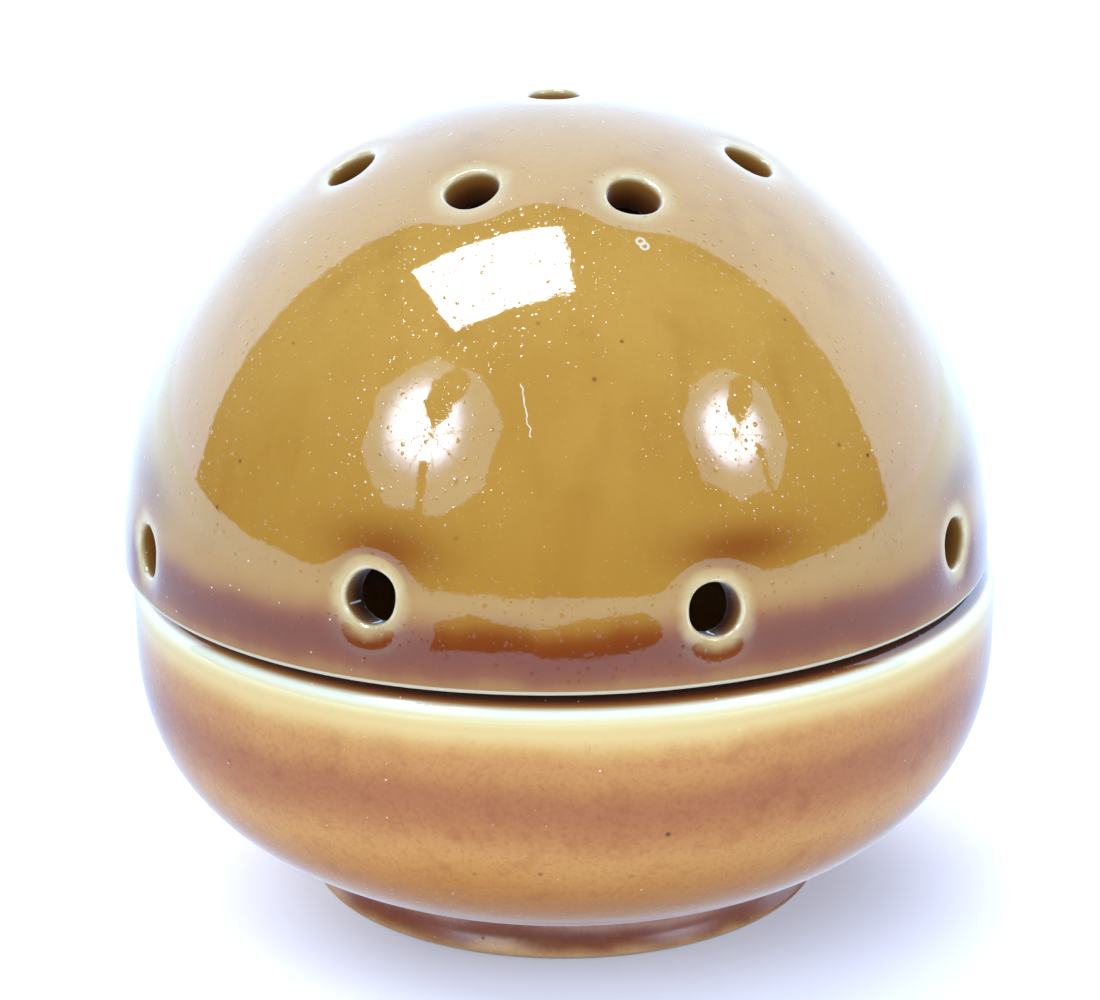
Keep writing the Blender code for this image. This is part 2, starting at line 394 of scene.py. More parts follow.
# ---- the bowl
def belly_curve(full_radius, depth, end_radius, steps):
    """A section from the widest part of the bowl down to a smaller radius."""
    across, down = BELLY_POWERS
    last = math.acos((end_radius / full_radius) ** (across / 2))
    turns = [last * k / steps for k in range(steps + 1)]
    return [(full_radius * math.cos(t) ** (2 / across), BELLY_HEIGHT - depth * math.sin(t) ** (2 / down))
            for t in turns]


def spaced(start, end, steps):
    """Points between two points of a section, both left out."""
    return [(start[0] + (end[0] - start[0]) * k / steps, start[1] + (end[1] - start[1]) * k / steps)
            for k in range(1, steps)]


def bowl_section():
    """The bowl's outline, from the middle of its hollow over the rim and down to its recess."""
    hollow = belly_curve(MOUTH_RADIUS, HOLLOW_DEPTH, HUB_RADIUS, 40)[::-1]
    lip_middle = (MOUTH_RADIUS + MOUTH_ROUND, RIM_HEIGHT - MOUTH_ROUND)
    lip = arc(lip_middle, MOUTH_ROUND, 180, 90, 6)
    shoulder = arc((BOWL_RADIUS - RIM_ROUND, RIM_HEIGHT - RIM_ROUND), RIM_ROUND, 90, 0, 20)
    belly = belly_curve(BOWL_RADIUS, BELLY_DEPTH, FOOT_WAIST_RADIUS + 0.0007, 60)
    section = hollow + spaced(hollow[-1], lip[0], 9) + lip + spaced(lip[-1], shoulder[0], 3)
    section += shoulder + spaced(shoulder[-1], belly[0], 8) + belly
    return section + foot_section(belly[-1][1])


def foot_section(top):
    """The outline of the foot ring and of the recess inside it."""
    section = [(FOOT_WAIST_RADIUS + 0.0002, top - 0.0004),
               (FOOT_WAIST_RADIUS, FOOT_WAIST_TOP - 0.0004),
               (FOOT_WAIST_RADIUS, FOOT_WAIST_BOTTOM),
               (FOOT_WAIST_RADIUS + 0.0004, 0.0018)]
    section += arc((FOOT_RADIUS - FOOT_ROUND, FOOT_ROUND), FOOT_ROUND, 30, -90, 6)
    section += [(FOOT_FACE_INNER + 0.0003, 0.0), (FOOT_FACE_INNER - 0.0003, 0.0003),
                (RECESS_RADIUS, RECESS_HEIGHT - RECESS_ROUND),
                (RECESS_RADIUS - 0.3 * RECESS_ROUND, RECESS_HEIGHT - 0.3 * RECESS_ROUND),
                (RECESS_RADIUS - RECESS_ROUND, RECESS_HEIGHT), (0.018, RECESS_HEIGHT),
                (HUB_RADIUS, RECESS_HEIGHT)]
    return section


def make_bowl():
    """The glazed bowl, turned from its section, with its foot face and its seat left bare."""
    maker = MeshMaker()
    rings = []
    for radius, height in bowl_section():
        points = ring_points(radius, height)
        foot_face = height < 0.0004 and radius < FOOT_RADIUS
        seat = RIM_HEIGHT - 0.0002 < height and radius < BOWL_RADIUS - RIM_ROUND + 0.0003
        if height > FOOT_WAIST_BOTTOM:
            outward = points * np.array([1, 1, 0]) / max(radius, MM)
            points = points + outward * unevenness(points, BOWL_WAVES)[:, None]
        rings.append(maker.add(points, bare=float(foot_face or seat)))
    maker.bands(rings)
    close_disc(maker, rings[0], belly_curve(MOUTH_RADIUS, HOLLOW_DEPTH, 0.0, 40)[-1][1], False)
    close_disc(maker, rings[-1], RECESS_HEIGHT, True)
    return maker.build("bowl_glazed")


FAN_POINTS = 12  # a ring with no more points than this is closed by a fan
CLOSER = 0.62  # each ring is this much smaller than the one round it


def close_disc(maker, ring, height, facing_down):
    """Closes a ring with ever coarser rings of points and a small fan in the middle."""
    points = np.concatenate(maker.points)[ring]
    while len(ring) > FAN_POINTS:
        points = points * np.array([CLOSER, CLOSER, 0]) + np.array([0, 0, height])
        half = maker.add(points[::2])
        stitch(maker, ring, half, facing_down)
        ring, points = half, points[::2]
    centre = maker.add([(0, 0, height)])[0]
    for k in range(len(ring)):
        face = [int(ring[k]), int(ring[(k + 1) % len(ring)]), int(centre)]
        maker.faces.append(face[::-1] if facing_down else face)


def stitch(maker, outer, inner, facing_down):
    """Joins a ring to one with half as many points, three triangles for each of its steps."""
    count, total = len(inner), len(outer)
    for k in range(count):
        a, b = int(outer[2 * k]), int(outer[(2 * k + 1) % total])
        c = int(outer[(2 * k + 2) % total])
        p, q = int(inner[k]), int(inner[(k + 1) % count])
        for face in ([a, b, p], [b, q, p], [b, c, q]):
            maker.faces.append(face[::-1] if facing_down else face)


# ---- node graphs
class Graph:
    """Builds a node tree from short calls. An input is a number, a colour or another output."""

    def __init__(self, tree):
        self.tree = tree

    def node(self, kind, inputs=None, **settings):
        node = self.tree.nodes.new(kind)
        for name, value in settings.items():
            setattr(node, name, value)
        for name, value in (inputs or {}).items():
            self.feed(node.inputs[name], value)
        return node

    def feed(self, socket, value):
        if isinstance(value, bpy.types.NodeSocket):
            self.tree.links.new(value, socket)
        elif hasattr(value, "__len__") and socket.type == "RGBA":
            socket.default_value = (*value[:3], 1.0)
        else:
            socket.default_value = value

    def surface(self, shading):
        self.feed(self.tree.nodes["Material Output"].inputs["Surface"], shading)

    def math(self, operation, first, second=0.0, clamp=False):
        return self.node("ShaderNodeMath", {0: first, 1: second}, operation=operation,
                         use_clamp=clamp).outputs[0]

    def times(self, first, second, clamp=False):
        return self.math("MULTIPLY", first, second, clamp)

    def plus(self, first, second, clamp=False):
        return self.math("ADD", first, second, clamp)

    def minus(self, first, second, clamp=False):
        return self.math("SUBTRACT", first, second, clamp)

    def parts(self, vector):
        return self.node("ShaderNodeSeparateXYZ", {0: vector}).outputs

    def line(self, value, slope, offset, clamp=False):
        """The value times the slope, plus the offset."""
        result = self.math("MULTIPLY_ADD", value, slope, clamp)
        self.feed(result.node.inputs[2], offset)
        return result

    def swing(self, value, size):
        """Noise that swings half the size to each side of 0."""
        return self.math("MULTIPLY", self.math("SUBTRACT", value, 0.5), size)

    def part(self, value, low, high, most):
        """Like step, but it reaches only the given most."""
        return self.math("MULTIPLY", self.step(value, low, high), most)

    def step(self, value, low, high):
        """0 at low and 1 at high, smooth between; low may be the larger."""
        if low > high:
            return self.math("SUBTRACT", 1.0, self.step(value, high, low))
        return self.node("ShaderNodeMapRange", {"Value": value, "From Min": low, "From Max": high},
                         interpolation_type="SMOOTHSTEP").outputs[0]

    def mix(self, share, first, second, blend="MIX"):
        """The first colour, and as much of the second as the share says."""
        node = self.node("ShaderNodeMix", data_type="RGBA", blend_type=blend)
        for index, value in ((0, share), (6, first), (7, second)):
            self.feed(node.inputs[index], value)
        return node.outputs[2]

    def ramp(self, value, stops, kind="CARDINAL"):
        """A colour for each value from 0 to 1, from stops that each have a value and a colour."""
        node = self.node("ShaderNodeValToRGB", {"Fac": value})
        node.color_ramp.interpolation = kind
        for place, colour in stops[:-2]:
            node.color_ramp.elements.new(place)
        for element, (place, colour) in zip(node.color_ramp.elements, stops):
            element.position = place
            element.color = (*colour, 1.0)
        return node.outputs[0]

    def noise(self, vector, scale, detail=3.0, roughness=0.55, distortion=0.0):
        return self.node("ShaderNodeTexNoise", {
            "Vector": vector, "Scale": scale, "Detail": detail, "Roughness": roughness,
            "Distortion": distortion}).outputs["Fac"]

    def scaled(self, vector, factors):
        return self.node("ShaderNodeVectorMath", {0: vector, 1: factors},
                         operation="MULTIPLY").outputs[0]

    def distance(self, vector, place):
        return self.node("ShaderNodeVectorMath", {0: vector, 1: place},
                         operation="DISTANCE").outputs["Value"]

    def attribute(self, name):
        return self.node("ShaderNodeAttribute", attribute_name=name).outputs["Fac"]


def new_material(name):
    material = bpy.data.materials.new(name)
    material.use_nodes = True
    graph = Graph(material.node_tree)
    shader = material.node_tree.nodes["Principled BSDF"]
    return material, graph, shader


def millimetres(graph):
    """Object coordinates in millimetres, and their height."""
    place = graph.node("ShaderNodeTexCoord").outputs["Object"]
    vector = graph.scaled(place, (1000.0, 1000.0, 1000.0))
    height = graph.parts(vector)["Z"]
    return vector, height


# ---- materials
CLAY, CLAY_DARK = (0.42, 0.33, 0.22), (0.34, 0.25, 0.16)
AMBER_TOP, AMBER_LOW = (0.42, 0.245, 0.048), (0.325, 0.165, 0.022)
RED_BROWN = (0.20, 0.062, 0.008)
# The third colour below is painted shade, for the lid's underside where it sits on the rim.
STREAK, EDGE_LINE, SEAT_GAP_SHADE = (0.27, 0.115, 0.012), (0.46, 0.42, 0.28), (0.05, 0.016, 0.006)
CREAM, HALO = (0.58, 0.52, 0.33), (0.50, 0.40, 0.18)
LIP_DOT, IRON_DOT, BOWL_DOT = (0.20, 0.08, 0.05), (0.10, 0.04, 0.02), (0.10, 0.035, 0.02)
PALE_DOT, BOWL_PALE_DOT, PALE_MARK = (0.75, 0.72, 0.66), (0.72, 0.70, 0.64), (0.62, 0.55, 0.42)
MOTTLE = (0.80, 0.66, 0.62)  # how much darker the bowl's mottling is
SCRATCH_X, SCRATCH_TOP, SCRATCH_FOOT = -4.5, 69.8, 65.3  # millimetres
BUBBLE_RINGS = ((8.0, -29.1, 81.9), (8.4, -29.5, 81.5))  # their middles, millimetres
# The glaze from the lid's edge up, where it pooled, over 12 mm.
POOL_TOP = 12.0
POOL_STOPS = ((0.05, (0.27, 0.125, 0.028)), (0.14, (0.20, 0.060, 0.012)), (0.32, (0.15, 0.034, 0.007)),
              (0.50, (0.19, 0.050, 0.007)), (0.60, (0.27, 0.115, 0.018)), (0.75, (0.33, 0.168, 0.025)))
# Down a hole's wall, over 5 mm: brown glaze that darkens deeper in, as painted shade.
WALL_DEPTH = -5.0
WALL_GLAZE_AND_SHADE_STOPS = ((0.08, (0.42, 0.30, 0.13)), (0.16, (0.28, 0.14, 0.035)), (0.5, (0.15, 0.055, 0.013)),
              (1.0, (0.07, 0.025, 0.008)))
# Up the bowl, over 40 mm: the foot, the amber belly, two brown bands, the pale rim with a painted
# highlight line on its shoulder, and the dark groove, which is painted shade under the lid's edge over
# brown glaze.
BAND_TOP = 40.0
BANDS_HIGHLIGHT_AND_SHADE_STOPS = (
    (0.000, (0.52, 0.30, 0.12)), (0.020, (0.34, 0.15, 0.05)), (0.036, (0.25, 0.075, 0.026)),
    (0.066, (0.32, 0.13, 0.085)), (0.090, (0.50, 0.28, 0.19)), (0.115, (0.36, 0.16, 0.06)),
    (0.257, (0.37, 0.14, 0.016)), (0.357, (0.41, 0.155, 0.016)), (0.420, (0.45, 0.195, 0.034)),
    (0.500, (0.49, 0.24, 0.062)), (0.575, (0.41, 0.175, 0.050)), (0.622, (0.36, 0.140, 0.040)),
    (0.667, (0.34, 0.125, 0.038)), (0.702, (0.346, 0.133, 0.036)), (0.737, (0.395, 0.170, 0.041)),
    (0.770, (0.43, 0.20, 0.050)), (0.805, (0.46, 0.225, 0.056)), (0.835, (0.52, 0.315, 0.090)),
    (0.867, (0.59, 0.43, 0.165)), (0.885, (0.58, 0.44, 0.170)), (0.902, (0.61, 0.515, 0.235)),
    # The bluish-white stop at 0.928 is a painted highlight along the rim's shoulder; the cream round it
    # is thin glaze.
    (0.917, (0.64, 0.61, 0.38)), (0.928, (0.66, 0.71, 0.57)), (0.936, (0.60, 0.60, 0.44)),
    # These last stops are painted shade of the gap under the lid's edge, over brown glaze.
    (0.944, (0.30, 0.17, 0.07)), (0.953, (0.11, 0.035, 0.012)), (0.965, (0.03, 0.010, 0.004)))
GLAZE_ROUGHNESS, WORN_ROUGHNESS = 0.04, 0.75
GLAZE_SHEEN, WORN_SHEEN = 0.85, -2.4  # the glow towards the outline, lost where it is worn
SHEEN_TINT = (0.85, 0.90, 1.0, 1.0)
BUBBLES = ((1.05, 0.62, 0.036), (1.9, 0.45, 0.016))  # scale, share of the cells, height in mm


def glaze_surface(graph, shader, vector, colour, bare, dull):
    """The glossy, faintly rippled skin with tiny bubbles that both glazed pieces share."""
    shader.inputs["Sheen Roughness"].default_value = 0.25
    shader.inputs["Sheen Tint"].default_value = SHEEN_TINT
    clay = graph.mix(graph.noise(vector, 2.4, 4.0), CLAY_DARK, CLAY)
    graph.feed(shader.inputs["Base Color"], graph.mix(bare, colour, clay))
    worn = graph.plus(bare, dull, True)
    graph.feed(shader.inputs["Roughness"], graph.line(worn, WORN_ROUGHNESS, GLAZE_ROUGHNESS))
    graph.feed(shader.inputs["Sheen Weight"], graph.line(worn, WORN_SHEEN, GLAZE_SHEEN, True))
    ripple = graph.times(graph.noise(vector, 0.35, 1.0), 0.014)
    grain = graph.times(graph.noise(vector, 1.3, 2.0), 0.004)
    skin = graph.plus(ripple, grain)
    for scale, share, height in BUBBLES:
        skin = graph.plus(skin, bubbles(graph, vector, scale, share, height))
    bump = graph.node("ShaderNodeBump", {"Height": skin, "Distance": MM, "Strength": 1.0})
    graph.feed(shader.inputs["Normal"], bump.outputs[0])


def random_cells(graph, vector, scale):
    """The distance to the middle of a random pattern's cell, and the cell's random numbers."""
    cells = graph.node("ShaderNodeTexVoronoi", {"Vector": vector, "Scale": scale}, feature="F1")
    chance = graph.node("ShaderNodeSeparateColor", {0: cells.outputs["Color"]}).outputs
    return cells.outputs["Distance"], chance


def bubbles(graph, vector, scale, share, height):
    """Height of round bubbles in a share of the cells of a random pattern."""
    distance, chance = random_cells(graph, vector, scale)
    away = graph.math("DIVIDE", distance, graph.line(chance["Green"], 0.18, 0.14))
    round_top = graph.minus(1.0, graph.times(away, away), True)
    round_top = graph.times(round_top, round_top)
    there = graph.math("LESS_THAN", chance["Red"], share)
    return graph.times(graph.times(round_top, there), height)


def specks(graph, vector, scale, share, colour, dot):
    """Small dots of another colour, laid over a colour."""
    distance, chance = random_cells(graph, vector, scale)
    near = graph.step(distance, 0.13, 0.05)
    there = graph.times(near, graph.math("LESS_THAN", chance["Red"], share))
    return graph.mix(graph.times(there, chance["Blue"]), colour, dot)


def lid_material():
    """Honey glaze: amber above, pooled red-brown at the edge, thin and pale round the holes, with painted
    shade down the holes and under the edge.
    """
    material, graph, shader = new_material("honey_glaze_lid")
    vector, height = millimetres(graph)
    lip, cloud, bare = (graph.attribute(name) for name in ("lip_mm", "cloud", "bare"))
    above = graph.minus(height, LID_SEAT / MM)
    colour = amber_glaze(graph, vector, above)
    colour = graph.mix(graph.times(cloud, 0.60, True), colour, RED_BROWN)
    colour = hole_glaze(graph, vector, lip, colour)
    colour = edge_glaze(graph, above, colour)
    dotted = specks(graph, vector, 1.3, 0.6, colour, LIP_DOT)
    colour = graph.mix(graph.step(lip, 1.3, 0.7), colour, dotted)
    colour = specks(graph, vector, 0.35, 0.12, colour, IRON_DOT)
    colour = specks(graph, vector, 0.90, 0.12, colour, PALE_DOT)
    colour = kiln_marks(graph, vector, colour)
    glaze_surface(graph, shader, vector, colour, bare, 0.0)
    return material


def amber_glaze(graph, vector, above):
    """Streaky amber, darker low down, over the ragged top of the pooled glaze."""
    broad = graph.noise(vector, 0.06, 3.0)
    fine = graph.noise(vector, 1.4, 5.0, 0.65)
    streak = graph.noise(graph.scaled(vector, (1.0, 1.0, 0.22)), 0.13, 3.0)
    amber = graph.mix(graph.step(above, 6.0, 40.0), AMBER_LOW, AMBER_TOP)
    amber = graph.mix(graph.part(broad, 0.45, 0.75, 0.45), amber, AMBER_LOW)
    amber = graph.mix(graph.part(streak, 0.52, 0.74, 0.34), amber, STREAK)
    amber = graph.mix(graph.part(fine, 0.35, 0.75, 0.22), amber, AMBER_LOW)
    level = graph.plus(above, graph.swing(streak, 3.0))
    pooled = graph.ramp(graph.math("DIVIDE", level, POOL_TOP), POOL_STOPS)
    return graph.mix(graph.step(level, 11.0, 7.5), amber, pooled)


def hole_glaze(graph, vector, lip, colour):
    """A soft halo and a cream lip round each hole, and the brown of its wall, with painted shade deeper
    in.
    """
    soft = graph.noise(vector, 0.30, 2.0)
    spread = graph.plus(lip, graph.swing(soft, 1.8))
    colour = graph.mix(graph.part(spread, 2.2, 0.1, 0.85), colour, HALO)
    thin = graph.step(graph.noise(vector, 0.5, 3.0), 0.30, 0.62)
    colour = graph.mix(graph.times(graph.step(lip, 0.52, 0.28), thin), colour, CREAM)
    # The wall's brown darkens deeper into the hole: painted shade.
    wall = graph.ramp(graph.math("DIVIDE", lip, WALL_DEPTH), WALL_GLAZE_AND_SHADE_STOPS)
    return graph.mix(graph.step(lip, -0.05, -0.40), colour, wall)


def edge_glaze(graph, above, colour):
    """The pale line along the lid's edge, and painted shade under it, where the lid sits in the gap over
    the rim.
    """
    line = graph.step(graph.math("ABSOLUTE", graph.minus(above, 0.28)), 0.30, 0.12)
    colour = graph.mix(line, colour, EDGE_LINE)
    # Painted shade where the lid's underside sits in the rim's gap.
    return graph.mix(graph.step(above, 0.02, -0.04), colour, SEAT_GAP_SHADE)


def kiln_marks(graph, vector, colour):
    """Two touching rings left by burst bubbles, high on the front, and a short pale scratch."""
    for centre in BUBBLE_RINGS:
        away = graph.distance(vector, centre)
        from_ring = graph.math("ABSOLUTE", graph.minus(away, 0.42))
        colour = graph.mix(graph.step(from_ring, 0.20, 0.08), colour, PALE_MARK)
    parts = graph.parts(vector)
    lean = graph.times(graph.minus(parts["Z"], SCRATCH_TOP), -0.21)
    wobble = graph.swing(graph.noise(vector, 0.9, 1.0), 0.9)
    line = graph.plus(graph.plus(lean, wobble), SCRATCH_X)
    across = graph.math("ABSOLUTE", graph.minus(parts["X"], line))
    scratch = graph.step(across, 0.11, 0.04)
    for limit in (graph.step(parts["Z"], SCRATCH_FOOT - 0.3, SCRATCH_FOOT),
                  graph.step(parts["Z"], SCRATCH_TOP + 0.3, SCRATCH_TOP),
                  graph.step(parts["Y"], 0.0, -1.0)):
        scratch = graph.times(scratch, limit)
    return graph.mix(scratch, colour, PALE_MARK)


def bowl_material():
    """Honey glaze in soft, uneven bands round the bowl, mottled and specked below the rim, with a painted
    highlight along the rim's shoulder and painted shade in the groove above it.
    """
    material, graph, shader = new_material("honey_glaze_bowl")
    vector, height = millimetres(graph)
    broad = graph.noise(graph.scaled(vector, (1.0, 1.0, 0.6)), 0.05, 3.0)
    unsteady = graph.step(height, 37.0, 30.0)
    level = graph.plus(height, graph.times(graph.swing(broad, 6.0), unsteady))
    # The ramp also paints a highlight line on the rim's shoulder and the shade of the lid's gap above it.
    bands = graph.ramp(graph.math("DIVIDE", level, BAND_TOP), BANDS_HIGHLIGHT_AND_SHADE_STOPS)
    colour = mottled_glaze(graph, vector, height, bands)
    colour = specks(graph, vector, 0.90, 0.08, colour, BOWL_PALE_DOT)
    dull = graph.part(height, 3.9, 3.2, 0.35)
    glaze_surface(graph, shader, vector, colour, graph.attribute("bare"), dull)
    return material


def mottled_glaze(graph, vector, height, bands):
    """Fine and coarse mottling and a few dark dots, all fading out towards the rim."""
    fine = graph.noise(vector, 1.7, 5.0, 0.75)
    coarse = graph.noise(vector, 0.30, 4.0, 0.6)
    mottled = graph.mix(1.0, bands, MOTTLE, "MULTIPLY")
    low_down = graph.step(height, 35.5, 31.0)
    fine_share = graph.times(graph.step(fine, 0.42, 0.78), low_down)
    coarse_share = graph.times(graph.step(coarse, 0.50, 0.80), low_down)
    colour = graph.mix(fine_share, bands, mottled)
    colour = graph.mix(coarse_share, colour, mottled)
    return graph.mix(low_down, colour, specks(graph, vector, 0.30, 0.16, colour, BOWL_DOT))


# ---- the sachet
SIM_SCALE = 10.0  # cloth is simulated ten times life size, where it behaves best
SIM_CAP = 0.032  # how far a point may move in the simulation
SIM_FRAMES = 20
VOXEL = 0.009  # the simulated mesh's fineness, at ten times life size
PILLOW_THICKNESS = 0.30  # before it is puffed up, as a share of the finished height
SEAM_WIDTH, SEAM_TUCK, SEAM_HALF_THICKNESS = 0.0024, 0.0055, 0.00016
SEAM_POINTS, SEAM_PULL, SEAM_CRIMP = 640, 0.05, 0.00016
BEADS, FOLDS, SINK, CROWN = 0.24 * MM, 0.40 * MM, 0.45 * MM, 2.6 * MM  # of the pillow's surface
REST_HEIGHT = 0.46  # the underside is flat this far below the middle, as a share
CLOTH, THICK_CLOTH = (0.50, 0.49, 0.45), (0.70, 0.69, 0.65)
STAINED, PRESSED = (0.60, 0.52, 0.40), (0.42, 0.41, 0.38)


def make_sachet():
    """A cloth pillow, puffed up by simulation, with a crimped seam round it and beads inside."""
    low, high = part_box("desiccant_sachet")
    piece = flat_pillow(SACHET_SIDE - 1.7 * SEAM_WIDTH, PILLOW_THICKNESS * SACHET_HEIGHT)
    puff_up(piece)
    piece.data.transform(Matrix.Scale(1 / SIM_SCALE, 4))
    shape_pillow(piece.data)
    piece.data.shade_smooth()
    add_seam(piece.data)
    piece.location = (low + high) / 2
    piece.rotation_euler = (0, 0, math.radians(SACHET_TURN))
    return piece


def flat_pillow(side, thickness):
    """A flat closed cushion with an even, fine mesh, ten times life size."""
    mesh = bpy.data.meshes.new("drying_sachet")
    bm = bmesh.new()
    bmesh.ops.create_cube(bm, size=SIM_SCALE)
    bmesh.ops.scale(bm, vec=(side, side, thickness), verts=bm.verts)
    bm.to_mesh(mesh)
    bm.free()
    piece = add_object("drying_sachet", mesh)
    remesh = piece.modifiers.new("remesh", "REMESH")
    remesh.mode = "VOXEL"
    remesh.voxel_size = VOXEL
    keep_modifiers(piece)
    return piece


def keep_modifiers(piece):
    """Makes a piece's modifiers part of its mesh."""
    shown = piece.evaluated_get(bpy.context.evaluated_depsgraph_get())
    piece.data = bpy.data.meshes.new_from_object(shown)
    piece.modifiers.clear()


def coordinates(mesh):
    flat = np.empty(3 * len(mesh.vertices), np.float32)
    mesh.vertices.foreach_get("co", flat)
    return flat.reshape(-1, 3).astype(float)


def set_coordinates(mesh, points):
    mesh.vertices.foreach_set("co", points.astype(np.float32).ravel())
    mesh.update()


def puff_up(piece):
    """Blows the cushion up with a cloth simulation."""
    before = coordinates(piece.data)
    cloth = piece.modifiers.new("cloth", "CLOTH")
    cloth.settings.use_pressure = True
    cloth.settings.uniform_pressure_force = 4.0
    cloth.settings.effector_weights.gravity = 0.0
    cloth.settings.tension_stiffness = 25.0
    cloth.settings.compression_stiffness = 6.0
    cloth.settings.bending_stiffness = 0.05
    scene = bpy.context.scene
    for step in range(1, SIM_FRAMES + 1):
        scene.frame_set(step)
    keep_modifiers(piece)
    scene.frame_set(1)
    moved = coordinates(piece.data) - before
    far = np.linalg.norm(moved, axis=1)
    share = SIM_CAP * np.tanh(far / SIM_CAP) / np.maximum(far, 1e-9)
    set_coordinates(piece.data, before + moved * share[:, None])
    smooth = piece.modifiers.new("finer", "SUBSURF")
    smooth.levels = smooth.render_levels = 1
    keep_modifiers(piece)


def shape_pillow(mesh):
    """Fits the pillow to its size, rests its underside flat and lets the beads press through."""
    points = coordinates(mesh)
    half_side, half_height = SACHET_SIDE / 2 - 0.75 * SEAM_WIDTH, SACHET_HEIGHT / 2
    points *= np.array([half_side, half_side, half_height]) / np.abs(points).max(axis=0)
    beads = wavy(points, 0.0016, 21)
    folds = wavy(points * np.array([1, 1, 0]), 0.0075, 23)
    fullness = np.clip(np.abs(points[:, 2]) / half_height, 0, 1)
    out = np.hypot(points[:, 0], points[:, 1]) / SACHET_SIDE
    dents = BEADS * beads + FOLDS * folds - SINK - CROWN * out ** 2
    points[:, 2] += np.sign(points[:, 2]) * fullness * dents
    points[:, 2] = np.maximum(points[:, 2], -REST_HEIGHT * SACHET_HEIGHT)
    set_coordinates(mesh, points)


def seam_ring(inset, lift):
    """Points round the sachet's square outline, whose sides pull in between its corners."""
    share = np.arange(SEAM_POINTS) / SEAM_POINTS * 4
    side, along = share.astype(int), (share % 1) * 2 - 1
    half = SACHET_SIDE / 2 - inset
    turn = side * math.pi / 2
    x, y = half * along, -half * (1 - SEAM_PULL * (1 - along ** 2))
    crimp = SEAM_CRIMP * np.sin(np.arange(SEAM_POINTS) * math.tau / 4)
    return np.stack([x * np.cos(turn) - y * np.sin(turn), x * np.sin(turn) + y * np.cos(turn),
                     crimp + lift * SEAM_HALF_THICKNESS], axis=1)


def add_seam(mesh):
    """A thin crimped strip round the pillow."""
    bm = bmesh.new()
    bm.from_mesh(mesh)
    loops = [[bm.verts.new(point) for point in seam_ring(inset, lift)]
             for inset, lift in ((SEAM_TUCK, 1), (0.0, 1), (0.0, -1), (SEAM_TUCK, -1))]
    for near, far in zip(loops, loops[1:] + loops[:1]):
        for k in range(SEAM_POINTS):
            after = (k + 1) % SEAM_POINTS
            bm.faces.new((near[k], far[k], far[after], near[after])).smooth = False
    bmesh.ops.recalc_face_normals(bm, faces=bm.faces)
    bm.to_mesh(mesh)
    bm.free()


def sachet_material():
    material, graph, shader = new_material("nonwoven_cloth")
    vector, _ = millimetres(graph)
    fibres = graph.noise(vector, 3.0, 6.0, 0.7, 1.5)
    blotch = graph.noise(vector, 0.15, 3.0)
    place = graph.parts(graph.scaled(vector, (6.3, 6.3, 0.0)))
    dots = graph.times(graph.math("SINE", place["X"]), graph.math("SINE", place["Y"]))
    pressed = graph.step(dots, 0.25, 0.60)
    cloth = graph.mix(fibres, CLOTH, THICK_CLOTH)
    cloth = graph.mix(graph.times(blotch, 0.35), cloth, STAINED)
    colour = graph.mix(graph.times(pressed, 0.5), cloth, PRESSED)
    graph.feed(shader.inputs["Base Color"], colour)
    shader.inputs["Roughness"].default_value = 0.9
    relief = graph.minus(fibres, pressed)
    bump = graph.node("ShaderNodeBump", {"Height": relief, "Distance": 0.12 * MM, "Strength": 1.0})
    graph.feed(shader.inputs["Normal"], bump.outputs[0])
    return material


# ---- stage, light and camera
TENT = (2.0, 2.8, 4.0)  # what the glaze mirrors of the white tent
FILL = (1.00, 1.13, 1.47)  # light that falls on everything, from overhead
ROOM = (0.03, 0.03, 0.04)  # the dark room seen through the tent's open front
FLASH = (26.0, 30.0, 36.0)  # the bright middle of a lamp
LAMP_REACH = 3.0  # how far off the lamps stand
CAMERA_AIM, CAMERA_DISTANCE, CAMERA_LENS = (-0.0016, 0.0, 0.0443), 0.3725, 104.7
CAMERA_ELEVATION, CAMERA_ROLL = 17.85, -0.36
STAGE_MIDDLE = (0, 0, 0.07)  # what the lamps and the window face
WHITE = (1.0, 1.0, 1.0)
FILL_LEVEL, FILL_UPWARD = 0.78, 0.35  # the fill is brighter from above
OPENING, OPENING_LEAN = 0.25, 0.13  # where the tent's open front begins
WINDOW_LIGHT = (22.0, 25.0, 28.0)
WINDOW_CORNERS = ((-0.51, 0.03, 0.87), (0.02, 0.09, 0.99), (0.075, -0.27, 0.965), (-0.405, -0.36, 0.845))
CANOPY_EDGE, CANOPY_MIDDLE, RIB_LIGHT = (1.6, 2.5, 3.2), (5.0, 7.5, 12.0), (0.9, 1.1, 1.3)
PANELS, CANOPY_ROWS, RIB_HALF_WIDTH = 8, 12, 0.0035
LAMP_TINT = (0.95, 0.97, 1.0)
FLOOR_COLOUR, FLOOR_GLOW = (0.62, 0.67, 0.76, 1.0), (0.88, 0.90, 1.0, 1.0)
GLOW_NEAR, GLOW_GAIN = 0.17, 0.45  # of the floor's painted glow: dim beside the pot, where it paints a shadow, and the gain further out
FLOOR_SHADOW_MIDDLE = (0.010, -0.018, 0.0)  # the floor's painted shadow is darkest here, in front of the foot
# The floor's painted shadow fades out between these distances from its middle.
FLOOR_SHADOW_INNER, FLOOR_SHADOW_OUTER = 0.024, 0.060
FLOOR_REACH, MIRRORED_FLOOR = 0.6, (  # what the glaze mirrors of the floor, out to 0.6 m
    (0.05, (0.45, 0.45, 0.42)), (0.13, (0.50, 0.72, 1.05)), (0.3, (1.05, 1.4, 1.95)),
    (1.0, (1.7, 2.6, 3.2)))
